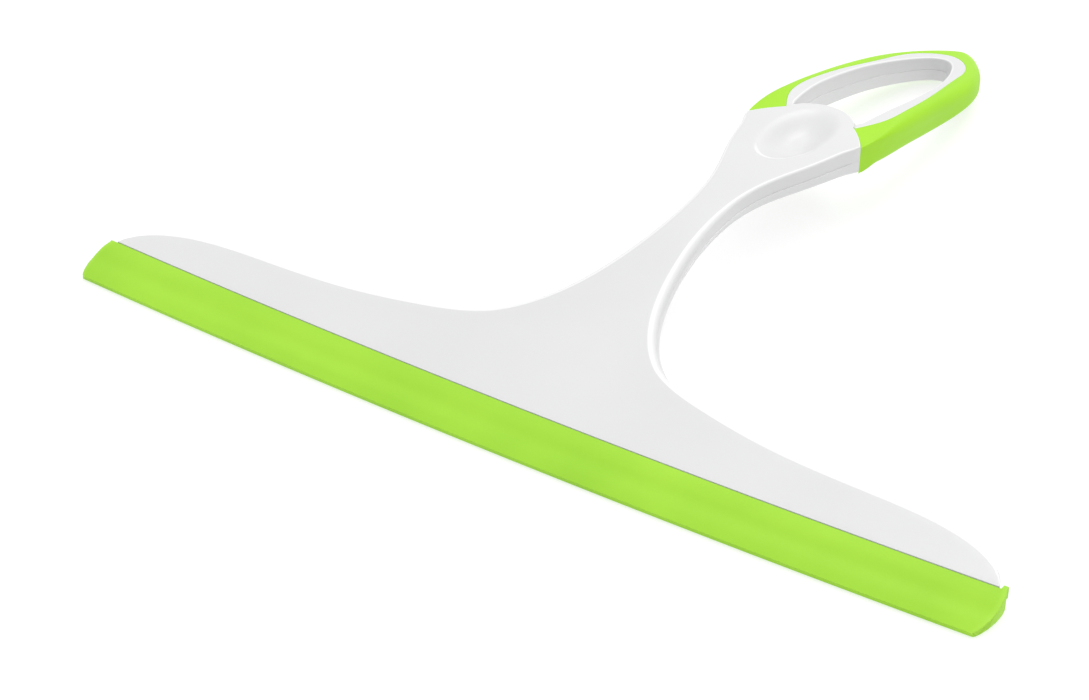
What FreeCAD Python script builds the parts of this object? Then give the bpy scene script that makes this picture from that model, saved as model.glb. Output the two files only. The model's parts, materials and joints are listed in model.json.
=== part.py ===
import FreeCAD, Part
import math
import os

from FreeCAD import Placement, Rotation, Vector

# Window cleaning squeegee: two plastic half shells, a rubber blade and a soft grip.
# Outlines are drawn with X along the blade, Y from the blade to the loop and Z up, in
# millimetres, with Y = 0 at the blade's two ends. Every sub-part is then moved along Y, so
# that the origin lies on the table below the middle of the whole squeegee.
# The front of the head is bowed. All sections are turned about the upright line through the
# bow's centre, so the blade slides along its channel by turning about that same line.

SIZES = {
    # head and blade
    "head_half": (145.2, "half length of the head at its front edge"),
    "bow_radius": (3000.0, "radius of the bowed front edge"),
    "joint_front": (-4.0, "Y of the front edge in the middle of the head"),
    "joint_height": (6.1, "height of the front edge's top above the table"),
    "jaw_stack": (6.1, "thickness of the head at its front edge"),
    "upper_jaw": (3.05, "thickness of the upper shell at the front edge"),
    "root_half": (139.0, "half length of the blade's web and bead"),
    "lug_length": (1.5, "length of the lug that stops the blade, along X"),
    "lug_width": (3.0, "width of the lug, along Y"),
    "lug_height": (3.4, "height of the lug"),
    "lug_gap": (0.3, "gap between the lug and the head's end"),
    "lug_drop": (0.5, "how far the lug's top lies below the front edge's top"),
    "blade_gap": (0.25, "gap between the blade's shoulder and the head"),
    "lip_reach": (15.0, "how far the lip stands in front of the head"),
    "lip_thick": (1.3, "thickness of the lip's edge"),
    "lip_step": (0.2, "how far the lip's top lies below the head's"),
    "lip_foot": (0.1, "how far the lip's underside lies above the head's"),
    "web_thick": (1.7, "thickness of the blade's web"),
    "bead_radius": (1.65, "radius of the bead in the channel"),
    "bead_depth": (5.0, "distance from the front edge back to the bead"),
    "slide_gap": (0.15, "clearance around the web and bead"),
    "channel_half": (160.0, "half length of the channel, which is open at both ends"),
    # side view of the handle
    "head_pitch": (10.44, "slope of the head and neck, degrees"),
    "plate_pitch": (-0.44, "slope of the thumb plate, degrees"),
    "loop_pitch": (-11.46, "slope of the loop, degrees"),
    "neck_bend_y": (100.0, "Y where the neck's and the plate's slopes meet"),
    "loop_bend_y": (176.0, "Y where the plate's and the loop's slopes meet"),
    "neck_bend_radius": (320.0, "radius of the bend at the neck"),
    "loop_bend_radius": (118.0, "radius of the bend at the loop"),
    "neck_thick": (6.6, "thickness of the handle where the neck meets the plate"),
    "plate_thick": (10.7, "thickness of the handle where the plate meets the loop"),
    "loop_thick": (7.4, "thickness of the loop past its tip"),
    "seam_share": (0.5, "share of the thickness above the seam"),
    # plan view
    "tip_y": (260.5, "Y of the loop's tip"),
    "opening_tip_y": (243.5, "Y of the opening's far end"),
    "plate_end_y": (169.3, "Y of the thumb plate's rounded end"),
    "band_tip_y": (250.0, "Y of the white band's far edge"),
    "outline_margin": (20.0, "how far cutting outlines run past the squeegee"),
    "stock_height": (60.0, "height of the extruded outlines"),
    "ring_drop": (0.7, "how far the loop starts below the thumb plate"),
    "ring_level_y": (208.0, "Y where the loop's top has risen to its own line"),
    # details
    "edge_radius": (1.4, "rounding of the upper shell's outer edges"),
    "lower_edge_radius": (1.9, "rounding of the lower shell's outer edges"),
    "inner_edge_radius": (0.8, "rounding of the opening's edges"),
    "grip_radius": (2.6, "rounding of the grip"),
    "sleeve_thick": (2.2, "thickness of the soft sleeve"),
    "wall": (2.2, "wall of the hollow handle"),
    "dish_y": (148.0, "Y of the middle of the thumb dish"),
    "dish_half_width": (10.5, "half width of the dish"),
    "dish_half_length": (21.0, "half length of the dish"),
    "dish_depth": (1.9, "depth of the dish"),
    "pin_radius": (1.3, "radius of the pins that line the shells up"),
    "pin_height": (1.6, "height of the pins above the seam"),
    "socket_gap": (0.05, "clearance around the pins"),
    "pin_x": (62.0, "X of the head's two pins"),
    "pin_y": (9.4, "Y of the head's two pins"),
    "row_shift": (120.75, "distance from the outlines' zero to the row's origin"),
}

# Right half of the outlines seen from above, as (x, y) from the blade to the loop.
WING = [(145.2, -0.5), (143.7, 3.0), (138.6, 7.8), (127.2, 12.1), (100.0, 14.4), (70.0, 16.1)]
NECK = [(48.4, 20.2), (30.0, 27.6), (19.4, 40.0), (12.7, 57.0), (8.6, 77.0), (7.4, 93.0)]
PLATE = [(8.9, 109.5), (14.7, 128.0), (19.5, 147.0)]
LOOP = [(21.5, 158.5), (22.5, 172.0), (22.0, 193.0), (20.6, 215.0), (16.3, 238.0), (8.6, 253.0)]
OPENING = [(11.0, 162.5), (13.0, 184.0), (12.6, 205.0), (10.2, 222.5)]
GRIP_START = [(23.5, 143.0), (18.6, 152.4), (11.8, 160.0)]
BAND = [(11.8, 160.0), (16.8, 170.8), (17.8, 183.0), (16.3, 204.0), (12.9, 227.0), (8.6, 243.0)]
TONGUE = [(12.0, 150.0), (17.2, 156.0), (20.2, 171.0), (19.7, 193.0), (18.3, 214.5), (14.1, 236.5),
          (7.0, 250.3)]
CAVITY = [(38.0, 10.0), (36.0, 18.0), (26.0, 25.5), (16.8, 38.5), (10.2, 56.0), (6.1, 77.0),
          (4.9, 93.0), (6.4, 109.5), (10.8, 126.0)]

# Right end of the blade seen from above: its bulging side, and the corner at the lip.
BLADE_SIDE = [(146.4, 1.5), (148.4, -7.0), (147.2, -12.8)]
BLADE_CORNER = [(147.2, -12.8), (146.1, -15.7), (143.0, -16.8)]

# Side view of the lip, as (share of its reach, height below the top or above the table).
LIP_TOP = [(0.27, 1.1), (0.5, 2.35), (0.74, 3.3)]
LIP_UNDER = (0.55, 0.3)
LIP_EDGE_LEAN = 0.3  # the lip's edge leans back by this much


def fill_sheet(doc):
    sheet = doc.addObject("Spreadsheet::Sheet", "Sizes")
    for row, (name, (value, meaning)) in enumerate(SIZES.items(), start=1):
        sheet.set(f"A{row}", name)
        sheet.set(f"B{row}", str(value))
        sheet.set(f"C{row}", meaning)
        sheet.setAlias(f"B{row}", name)
    doc.recompute()
    return sheet


doc = FreeCAD.newDocument("squeegee")
sheet = fill_sheet(doc)


def size(name):
    return float(sheet.get(name))


def slope(name):
    return math.tan(math.radians(size(name)))


# ---------------------------------------------------------------- curves and sketches

def mirrored(points):
    return [(-x, y) for x, y in reversed(points)]


def spline(points):
    """A smooth curve through points."""
    curve = Part.BSplineCurve()
    curve.interpolate([Vector(x, y, 0) for x, y in points])
    return curve


def polyline(points):
    pairs = zip(points, points[1:])
    return [Part.LineSegment(Vector(*a, 0), Vector(*b, 0)) for a, b in pairs]


def bent_line(points, radii):
    """Straight runs through points, joined by tangent arcs of the given radii."""
    edges = []
    start = Vector(*points[0], 0)
    for before, corner, after, radius in zip(points, points[1:], points[2:], radii):
        corner = Vector(*corner, 0)
        back = (Vector(*before, 0) - corner).normalize()
        ahead = (Vector(*after, 0) - corner).normalize()
        half = back.getAngle(ahead) / 2
        reach = radius / math.tan(half)
        middle = corner + (back + ahead).normalize() * (radius / math.sin(half) - radius)
        edges.append(Part.LineSegment(start, corner + back * reach))
        edges.append(Part.Arc(corner + back * reach, middle, corner + ahead * reach))
        start = corner + ahead * reach
    edges.append(Part.LineSegment(start, Vector(*points[-1], 0)))
    return edges


SIDE_VIEW = Rotation(0.5, 0.5, 0.5, 0.5)  # sketch X becomes Y, and sketch Y becomes Z


def sketch(name, edges, side_view=False):
    made = doc.addObject("Sketcher::SketchObject", name)
    if side_view:
        made.Placement = Placement(Vector(), SIDE_VIEW)
    made.addGeometry(edges, False)
    return made


def extruded(name, profile):
    """An outline seen from above, made into a tall block."""
    block = doc.addObject("Part::Extrusion", name)
    block.Base = profile
    block.DirMode = "Normal"
    block.Solid = True
    block.Symmetric = True
    block.setExpression("LengthFwd", "2 * Sizes.stock_height")
    return block


def turned(name, profile, half_length="channel_half"):
    """A side view turned both ways about the upright line through the bow's centre."""
    ring = doc.addObject("Part::Revolution", name)
    ring.Source = profile
    ring.Axis = Vector(0, 0, 1)
    ring.setExpression("Base.y", "Sizes.joint_front + Sizes.bow_radius")
    ring.setExpression("Angle", f"2 * asin(Sizes.{half_length} / Sizes.bow_radius)")
    ring.Symmetric = True
    ring.Solid = True
    return ring


def boolean(kind, name, first, second):
    made = doc.addObject(f"Part::{kind}", name)
    if kind == "MultiFuse":
        made.Shapes = [first, second]
        made.Refine = True
    else:
        made.Base = first
        made.Tool = second
    return made


# ---------------------------------------------------------------- side views

def side_corners(share):
    """The four corners of a side-view line, share of the thickness below the top."""
    front = size("joint_front")
    neck = size("neck_bend_y")
    loop = size("loop_bend_y")
    end = size("tip_y") + size("outline_margin")
    top_neck = size("joint_height") + (neck - front) * slope("head_pitch")
    top_loop = top_neck + (loop - neck) * slope("plate_pitch")
    top_end = top_loop + (end - loop) * slope("loop_pitch")
    return [
        (front, size("joint_height") - share * size("jaw_stack")),
        (neck, top_neck - share * size("neck_thick")),
        (loop, top_loop - share * size("plate_thick")),
        (end, top_end - share * size("loop_thick")),
    ]


def side_line(share, drop=0.0):
    corners = [(y, z - drop) for y, z in side_corners(share)]
    return bent_line(corners, (size("neck_bend_radius"), size("loop_bend_radius")))


def height_at(y, share=0.0):
    """Height of the side-view line's straight runs at y."""
    corners = side_corners(share)
    for (y0, z0), (y1, z1) in zip(corners, corners[1:]):
        if y <= y1:
            return z0 + (z1 - z0) * (y - y0) / (y1 - y0)
    raise ValueError("y is past the end of the loop")


def between(name, high, low):
    """The band between two side-view lines, turned about the bow's centre."""
    ends = [
        Part.LineSegment(high[-1].EndPoint, low[-1].EndPoint),
        Part.LineSegment(high[0].StartPoint, low[0].StartPoint),
    ]
    return turned(name, sketch(name + "_profile", high + low + ends, side_view=True))


# ---------------------------------------------------------------- plan views

def closed_plan(name, right_half, tip_y, corners=()):
    """A symmetric outline: smooth around the tip, with straight lines through corners."""
    points = right_half + [(0.0, tip_y)] + mirrored(right_half)
    return sketch(name, [spline(points)] + polyline([points[-1], *corners, points[0]]))


def outer_plan():
    half = size("head_half")
    corner_y = size("joint_front") - size("outline_margin")
    corners = [(-half, corner_y), (half, corner_y)]
    return closed_plan("outer_plan", WING + NECK + PLATE + LOOP, size("tip_y"), corners)


def plan_arc(points):
    return Part.Arc(*[Vector(x, y, 0) for x, y in points])


def plate_end_arc():
    """Three points of the thumb plate's rounded end, from left to right."""
    x, y = OPENING[0]
    return [(-x, y), (0.0, size("plate_end_y")), (x, y)]


def opening_plan():
    points = OPENING + [(0.0, size("opening_tip_y"))] + mirrored(OPENING)
    return sketch("opening_plan", [spline(points), plan_arc(plate_end_arc())])


def grip_plan():
    """Everything outside the white band of the loop, back from the grip's two ends."""
    margin = size("outline_margin")
    band = spline(BAND + [(0.0, size("band_tip_y"))] + mirrored(BAND))
    right = plan_arc(reversed(GRIP_START))
    left = plan_arc((-x, y) for x, y in GRIP_START)
    x, y = GRIP_START[0]
    far_x = LOOP[1][0] + margin
    far_y = size("tip_y") + margin
    around = [(-x, y), (-far_x, y), (-far_x, far_y), (far_x, far_y), (far_x, y), (x, y)]
    return sketch("grip_plan", [band, left, right] + polyline(around))


def tongue_plan():
    return closed_plan("tongue_plan", TONGUE, size("tip_y") - size("sleeve_thick"))


def cavity_plan():
    left = mirrored(CAVITY)
    ends = polyline([CAVITY[-1], left[0]]) + polyline([left[-1], CAVITY[0]])
    return sketch("cavity_plan", [spline(CAVITY), spline(left)] + ends)


def blade_plan():
    """The blade's rounded ends, run on as a block behind the bead and in front of the lip."""
    back = size("bead_depth") + size("bead_radius") + size("blade_gap")
    front = size("joint_front") - size("lip_reach") - size("outline_margin")
    side_x, side_y = BLADE_SIDE[0]
    front_x, front_y = BLADE_CORNER[-1]
    edges = []
    for arc in (BLADE_SIDE, BLADE_CORNER):
        edges.append(plan_arc(arc))
        edges.append(plan_arc((-x, y) for x, y in arc))
    edges += polyline([(side_x, side_y), (side_x, back), (-side_x, back), (-side_x, side_y)])
    edges += polyline([(-front_x, front_y), (-front_x, front), (front_x, front), (front_x, front_y)])
    return sketch("blade_plan", edges)


# ---------------------------------------------------------------- blade and channel

def along_head(back, down):
    """A point a distance behind the front edge and below the head's sloping top."""
    y = size("joint_front") + back
    return y, size("joint_height") + back * slope("head_pitch") - down


def web_and_bead(name, grow, start):
    """The closed side view of the web and bead, enlarged by grow, from start backwards."""
    middle = size("upper_jaw")
    half = size("web_thick") / 2 + grow
    radius = size("bead_radius") + grow
    neck = size("bead_depth") - math.sqrt(radius ** 2 - half ** 2)
    upper = [along_head(start, middle - half), along_head(neck, middle - half)]
    lower = [along_head(neck, middle + half), along_head(start, middle + half)]
    end = along_head(size("bead_depth") + radius, middle)
    round_end = Part.Arc(*[Vector(*p, 0) for p in (upper[1], end, lower[0])])
    edges = polyline(lower + upper) + [round_end]
    return sketch(name, edges, side_view=True)


def lip_profile():
    """The bulging lip, with its nearly flat underside."""
    y, top = along_head(-size("blade_gap"), size("lip_step"))
    reach = size("lip_reach")
    tip_y = size("joint_front") - reach
    bottom = (y, size("joint_height") - size("jaw_stack") + size("lip_foot"))
    tip = [(tip_y, size("lip_thick")), (tip_y + LIP_EDGE_LEAN, 0.0)]
    share, height = LIP_UNDER
    bulge = [(y - part * reach, top - drop) for part, drop in LIP_TOP]
    front = spline([(y, top), *bulge, tip[0]])
    under = spline([tip[1], (y - share * reach, height), bottom])
    edges = [front, under] + polyline(tip) + polyline([bottom, (y, top)])
    return sketch("lip_profile", edges, side_view=True)


def end_lug():
    """A small lug on the right end that stops the blade against the head."""
    lug = doc.addObject("Part::Box", "end_lug")
    lug.setExpression("Length", "Sizes.lug_length")
    lug.setExpression("Width", "Sizes.lug_width")
    lug.setExpression("Height", "Sizes.lug_height")
    lug.setExpression("Placement.Base.x", "Sizes.head_half + Sizes.lug_gap")
    lug.setExpression("Placement.Base.y", "Sizes.lug_width / -2")
    lug.setExpression("Placement.Base.z", "Sizes.joint_height - Sizes.lug_height - Sizes.lug_drop")
    return lug


OVERLAP = 1.0  # how far the web reaches into the lip, and the channel out of the head


def make_blade():
    strip = turned("lip_strip", lip_profile())
    lip = boolean("Common", "lip", strip, extruded("blade_block", blade_plan()))
    root_profile = web_and_bead("root_profile", 0.0, -size("blade_gap") - OVERLAP)
    root = turned("root", root_profile, "root_half")
    blade = boolean("MultiFuse", "blade_strip", lip, root)
    return boolean("MultiFuse", "blade_with_lug", blade, end_lug())


# ---------------------------------------------------------------- edges to round

ON_OUTLINE = 0.01  # distance within which an edge counts as standing on an outline
UPRIGHT = 0.3  # a face whose normal has less upright part than this is a wall
LEVEL = 0.8  # a face whose normal has more upright part than this is a top or bottom


def steepness(face, point):
    """Size of the upright part of the face's normal at a point: 1 on a level face."""
    u, v = face.Surface.parameter(point)
    return abs(face.normalAt(u, v).z)


def rim_edges(shape, outline, highest):
    """Edges where an upright wall above the outline meets the top, or else the bottom."""
    wire = Part.Wire(Part.__sortEdges__(outline))
    found = []
    for index, edge in enumerate(shape.Edges, start=1):
        first, last = edge.ParameterRange
        samples = [edge.valueAt(first + (last - first) * k / 4) for k in range(5)]
        flat = [Part.Vertex(p.x, p.y, 0) for p in samples]
        if max(wire.distToShape(p)[0] for p in flat) > ON_OUTLINE:
            continue
        faces = shape.ancestorsOfType(edge, Part.Face)
        levels = sorted(steepness(face, samples[2]) for face in faces)
        if levels[0] > UPRIGHT or levels[-1] < LEVEL:
            continue
        level_face = max(faces, key=lambda face: steepness(face, samples[2]))
        u, v = level_face.Surface.parameter(samples[2])
        if (level_face.normalAt(u, v).z > 0) == highest:
            found.append(index)
    return found


def rounded(name, base, rims):
    """Round groups of edges: rims pairs each list of edge numbers with its radius cell."""
    made = doc.addObject("Part::Fillet", name)
    made.Base = base
    made.Edges = [(n, size(cell), size(cell)) for edges, cell in rims for n in edges]
    return made


def grip_rounding(name, base, rims):
    """The grip starts flush with the plastic's small rounding and swells to its own."""
    small = size("edge_radius")
    full = size("grip_radius")
    edges = []
    for index in rims:
        edge = base.Shape.Edges[index - 1]
        ends = [small if v.Point.y < GRIP_START[1][1] else full for v in edge.Vertexes]
        edges.append((index, *ends))
    made = doc.addObject("Part::Fillet", name)
    made.Base = base
    made.Edges = edges
    return made


# ---------------------------------------------------------------- the sub-parts

def outline_edges(plan):
    doc.recompute()
    return [e for e in plan.Shape.Edges if isinstance(e.Curve, Part.BSplineCurve)]


def half_shell(name, side, tongue_side, plans, top, radius):
    """The white half above or below the seam: rounded rims, and a tongue inside the grip."""
    blank = boolean("Common", name + "_blank", plans["white"], side)
    doc.recompute()
    outer = rim_edges(blank.Shape, outline_edges(plans["outer_plan"]), top)
    inner = rim_edges(blank.Shape, outline_edges(plans["opening_plan"]), top)
    rims = [(outer, radius), (inner, "inner_edge_radius")]
    tongue = boolean("Common", name + "_tongue", plans["tongue"], tongue_side)
    return boolean("MultiFuse", name + "_outside", rounded(name + "_rounded", blank, rims), tongue)


def pins(name, gap):
    """Two short pins that line the shells up or, with a gap, the sockets around them."""
    made = []
    y = size("pin_y")
    seam = height_at(y, size("seam_share"))
    for side, sign in (("right", 1), ("left", -1)):
        pin = doc.addObject("Part::Cylinder", f"{name}_{side}")
        pin.setExpression("Radius", f"Sizes.pin_radius + {gap}")
        pin.setExpression("Height", f"2 * (Sizes.pin_height + {gap})")
        pin.Placement.Base = Vector(sign * size("pin_x"), y, seam - size("pin_height") - gap)
        made.append(pin)
    return boolean("MultiFuse", name, *made)


def thumb_dish():
    """A shallow oval bowl, which is the lower cap of an ellipsoid."""
    depth = size("dish_depth")
    cap = 0.4  # share of the ellipsoid's half height that lies below the plate's surface
    spread = math.sqrt(1 - (1 - cap) ** 2)
    bowl = doc.addObject("Part::Ellipsoid", "dish_bowl")
    bowl.Radius1 = depth / cap
    bowl.Radius2 = size("dish_half_width") / spread
    bowl.Radius3 = size("dish_half_length") / spread
    surface = height_at(size("dish_y"))
    bowl.Placement.Base = Vector(0, size("dish_y"), surface + depth / cap - depth)
    return bowl


def ring_step(name, low_y):
    """What is cut away above the loop, which starts a step lower than the thumb plate."""
    bend = size("loop_bend_y")
    level = size("ring_level_y")
    margin = size("outline_margin")
    drop = size("ring_drop")
    bend_drop = drop * (level - bend) / (level - size("plate_end_y"))
    corners = [(low_y, height_at(low_y) - drop), (bend, height_at(bend) - bend_drop),
               (level, height_at(level))]
    floor = bent_line(corners, (size("loop_bend_radius"),))
    ceiling = max(z for y, z in corners) + margin
    above = polyline([corners[-1], (level, ceiling), (low_y, ceiling), corners[0]])
    return turned(name, sketch(name + "_profile", floor + above, side_view=True))


def around_disc(step):
    """The part of the step that lies outside the thumb plate's rounded end."""
    x, y = OPENING[0]
    rise = size("plate_end_y") - y
    radius = (x ** 2 + rise ** 2) / (2 * rise)
    disc = doc.addObject("Part::Cylinder", "plate_end_disc")
    disc.Radius = radius
    disc.setExpression("Height", "2 * Sizes.stock_height")
    disc.Placement.Base = Vector(0, size("plate_end_y") - radius, -size("stock_height"))
    return boolean("Cut", "step_around_disc", step, disc)


def plan_blocks():
    """Tall blocks of the outlines, from which the white parts, tongue and grip are taken."""
    outer_outline = outer_plan()
    opening_outline = opening_plan()
    opening = extruded("opening_block", opening_outline)
    grip_zone = extruded("grip_block", grip_plan())
    solid = boolean("Cut", "outer_with_opening", extruded("outer_block", outer_outline), opening)
    tongue = boolean("Common", "tongue_in_grip", extruded("tongue_block", tongue_plan()), grip_zone)
    return {
        "outer_plan": outer_outline,
        "opening_plan": opening_outline,
        "white": boolean("Cut", "white_plan", solid, grip_zone),
        "tongue": boolean("Cut", "tongue_with_opening", tongue, opening),
        "grip": boolean("Common", "grip_plan_block", solid, grip_zone),
    }


def make_shells(plans):
    """The two white halves with their pins and sockets, dish, step, cavity and channel."""
    skin = size("sleeve_thick")
    wall = size("wall")
    top = side_line(0.0)
    middle = side_line(size("seam_share"))
    bottom = side_line(1.0)
    upper = half_shell(
        "upper", between("upper_side", top, middle),
        between("tongue_upper", side_line(0.0, skin), middle), plans, True, "edge_radius")
    lower = half_shell(
        "lower", between("lower_side", middle, bottom),
        between("tongue_lower", middle, side_line(1.0, -skin)), plans, False, "lower_edge_radius")
    lower = boolean("MultiFuse", "lower_with_pins", lower, pins("pins", 0.0))
    upper = boolean("Cut", "upper_with_sockets", upper, pins("sockets", size("socket_gap")))
    upper = boolean("Cut", "upper_with_dish", upper, thumb_dish())
    step = around_disc(ring_step("shell_step", BAND[0][1]))
    upper = boolean("Cut", "upper_with_step", upper, step)
    cavity_side = between("cavity_side", side_line(0.0, wall), side_line(1.0, -wall))
    cavity = boolean("Common", "cavity", extruded("cavity_block", cavity_plan()), cavity_side)
    channel = turned("channel", web_and_bead("channel_profile", size("slide_gap"), -OVERLAP))
    inside = boolean("MultiFuse", "inside", cavity, channel)
    return boolean("Cut", "upper_hollow", upper, inside), boolean("Cut", "lower_hollow", lower, inside)


def make_grip(plans):
    """The soft sleeve: rounded outside, and hollow where the shells' tongues are."""
    skin = size("sleeve_thick")
    whole_side = between("whole_side", side_line(0.0), side_line(1.0))
    blank = boolean("Common", "grip_blank", plans["grip"], whole_side)
    doc.recompute()
    outline = outline_edges(plans["outer_plan"])
    rims = rim_edges(blank.Shape, outline, True) + rim_edges(blank.Shape, outline, False)
    grip = grip_rounding("grip_rounded", blank, rims)
    grip = boolean("Cut", "grip_with_step", grip, ring_step("grip_step", GRIP_START[0][1]))
    core_side = between("core_side", side_line(0.0, skin), side_line(1.0, -skin))
    core = boolean("Common", "grip_core", plans["tongue"], core_side)
    return boolean("Cut", "grip_hollow", grip, core)


def placed(name, shape_object):
    """The finished sub-part, moved so that the row's origin is below its middle."""
    made = doc.addObject("Part::Compound", name)
    made.Links = [shape_object]
    made.Label = name
    made.setExpression("Placement.Base.y", "-Sizes.row_shift")
    return made


def check(nodes):
    """Stop before anything is written if an object has failed or a shape is unsound."""
    for thing in doc.Objects:
        if "Invalid" in thing.State or "Error" in thing.State:
            raise RuntimeError(f"{thing.Name} failed: {thing.getStatusString()}")
    for node in nodes:
        if node.Shape.isNull() or not node.Shape.isValid() or len(node.Shape.Solids) != 1:
            raise RuntimeError(f"{node.Label} isn't one sound solid")


def main():
    plans = plan_blocks()
    upper, lower = make_shells(plans)
    blade = make_blade()
    grip = make_grip(plans)
    named = (("upper_shell", upper), ("lower_shell", lower), ("blade", blade), ("grip", grip))
    nodes = [placed(name, made) for name, made in named]
    doc.recompute()
    check(nodes)
    os.makedirs("parts", exist_ok=True)
    for node in nodes:
        node.Shape.exportStep(f"parts/{node.Label}.step")


main()
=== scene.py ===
import json
import math

import bpy
import numpy as np
from mathutils import Matrix, Vector
from mathutils.geometry import delaunay_2d_cdt

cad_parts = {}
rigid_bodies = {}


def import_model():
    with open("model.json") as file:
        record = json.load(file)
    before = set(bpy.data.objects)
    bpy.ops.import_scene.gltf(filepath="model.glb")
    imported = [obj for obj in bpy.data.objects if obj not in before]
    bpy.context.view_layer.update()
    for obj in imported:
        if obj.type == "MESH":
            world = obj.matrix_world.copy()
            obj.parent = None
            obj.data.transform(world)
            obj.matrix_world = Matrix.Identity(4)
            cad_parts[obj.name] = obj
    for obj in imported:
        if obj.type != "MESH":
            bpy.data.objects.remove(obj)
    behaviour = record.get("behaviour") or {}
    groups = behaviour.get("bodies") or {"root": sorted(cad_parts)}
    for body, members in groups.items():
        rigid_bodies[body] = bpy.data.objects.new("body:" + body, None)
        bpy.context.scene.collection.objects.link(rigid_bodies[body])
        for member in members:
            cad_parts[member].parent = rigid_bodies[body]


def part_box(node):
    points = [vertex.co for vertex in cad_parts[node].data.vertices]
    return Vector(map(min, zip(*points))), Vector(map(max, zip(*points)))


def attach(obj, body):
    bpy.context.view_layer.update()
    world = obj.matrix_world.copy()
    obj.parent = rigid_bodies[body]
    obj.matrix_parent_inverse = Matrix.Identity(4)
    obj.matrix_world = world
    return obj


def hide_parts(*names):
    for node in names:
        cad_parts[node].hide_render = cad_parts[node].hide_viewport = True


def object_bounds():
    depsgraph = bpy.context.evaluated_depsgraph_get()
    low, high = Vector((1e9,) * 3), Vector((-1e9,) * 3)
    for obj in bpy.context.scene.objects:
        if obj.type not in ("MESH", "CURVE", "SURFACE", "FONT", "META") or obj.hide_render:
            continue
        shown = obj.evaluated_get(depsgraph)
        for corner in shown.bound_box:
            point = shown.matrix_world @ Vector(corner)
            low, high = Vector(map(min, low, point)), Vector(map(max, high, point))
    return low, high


for thing in list(bpy.data.objects):
    bpy.data.objects.remove(thing)
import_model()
cad_low, cad_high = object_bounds()

# Window cleaning squeegee: two glossy white half shells, a green rubber blade and a soft grip.
# Shapes are worked out in millimetres, with Y = 0 at the blade's two ends, as in the part's
# source, and moved into the frame at the end. Angles are in degrees.

MM = 1000.0               # millimetres in a metre
BOW_Y = 2996.0            # Y of the upright line about which every section is turned
FRONT_Y = -4.0            # Y of the head's front edge, in the middle
BOW_RADIUS = BOW_Y - FRONT_Y
TIP_Y = 260.5             # Y of the loop's tip
SHIFT_Y = TIP_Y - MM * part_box("grip")[1].y
CREST_MARGIN = 0.01       # the plate's crest stays this far below the CAD model's
CREST_Z = MM * cad_high.z - CREST_MARGIN

# The side view: a top line of three straight runs with two bends, and the thickness below it.
CORNERS_Y = (FRONT_Y, 100.0, 176.0, 278.0)
PITCHES = (10.44, -0.44, -11.46)
THICKNESS = (6.1, 6.6, 10.7, 7.4)
FRONT_Z = 6.1             # height of the head's front edge
BEND_RADII = (320.0, 118.0)
SEAM = 0.5                # share of the thickness above the seam

# The right half of each outline, seen from above, as points that a smooth curve goes through.
WING = [(145.2, -0.5), (143.7, 3.0), (138.6, 7.8), (127.2, 12.1), (100.0, 14.4), (70.0, 16.1)]
NECK = [(48.4, 20.2), (30.0, 27.6), (19.4, 40.0), (12.7, 57.0), (8.6, 77.0), (7.4, 93.0)]
PLATE = [(8.9, 109.5), (14.7, 128.0), (19.5, 147.0)]
LOOP = [(21.5, 158.5), (22.5, 172.0), (22.0, 193.0), (20.6, 215.0), (16.3, 238.0), (8.6, 253.0)]
OPENING = [(11.0, 162.5), (13.0, 184.0), (12.6, 205.0), (10.2, 222.5)]
OPENING_TIP_Y = 243.5
PLATE_END_Y = 169.3       # Y at which the plate's round end meets the opening, in the middle
GRIP_START = [(23.5, 143.0), (18.6, 152.4), (11.8, 160.0)]
GRIP_START_YS = (135, 165)    # the outline passes the grip's start between these
BAND = [(11.8, 160.0), (16.8, 170.8), (17.8, 183.0), (16.3, 204.0), (12.9, 227.0), (8.6, 243.0)]
BAND_TIP_Y = 250.0

# The loop lies lower than the plate where they meet, less and less towards its tip.
RING_DROP = 0.7
RING_DROP_Y = 168.0       # the drop starts to fade here
RING_DROP_FADE = 40.0
STEP_WIDTH = 0.45         # width of the step at the plate's round end
STEP_FROM_Y = 159.8

# The thumb dish: an uneven bowl, whose rim on the head's side begins with a crisp step.
DISH = {"x": 0.2, "y": 148.0, "wide": 10.6, "near": 21.0, "far": 18.3, "depth": 3.9}
DISH_SPAN = 0.85          # share of the way from rim to middle over which the bowl gets deeper
RIM_TURNS = (-62.0, -22.0, 50.0, 80.0)    # where the crisp rim starts, is full, fades and ends
RIM_SHARE = 0.15          # share of the depth that the crisp step takes
RIM_SPAN = 0.08           # and of the way from rim to middle
# Wear and a painted highlight along the dish's crisp rim: its strength, its place from rim to
# middle and its spread.
RIM_WEAR_AND_HIGHLIGHT, RIM_WEAR_AND_HIGHLIGHT_AT, RIM_WEAR_AND_HIGHLIGHT_SPREAD = 1.3, 0.04, 0.05

# The walls of the shells, between the seam and the rounded outer edge.
DRAFT = 0.6               # how far a wall leans in over its height
DRAFT_ROOM = 3.0          # walls lower than this lean less
DRAFT_ROUNDING = 0.3      # walls with a smaller rounding stand upright
DRAFT_GROWTH = 1.6        # how fast the lean grows with the rounding
SEAM_LEDGE = 0.26         # how far the upper half's wall stands back from the lower half's
LEDGE_Y, LEDGE_GROWTH = 15.0, 15.0    # the ledge starts behind the wings
SEAM_BEVEL = {True: 0.06, False: 0.03}    # bevel along the seam: upper half, lower half
FLASH = 0.09              # unevenness of the upper half's seam edge
FLASH_RANGE = (-0.03, 0.08)
ROUNDING_ROOM = 0.8       # share of a wall's height that its rounding may take
# How much paler the seam's bevel and the wall's foot are painted, as wear and painted highlight.
BEVEL_WEAR_AND_HIGHLIGHT, SEAM_WEAR_AND_HIGHLIGHT = 0.8, 0.4
WALL_STEPS = (0.0, 0.34, 0.67, 1.0)
ROUNDING_STEPS = (12, 24, 36, 48, 60, 70, 80, 90)

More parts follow.
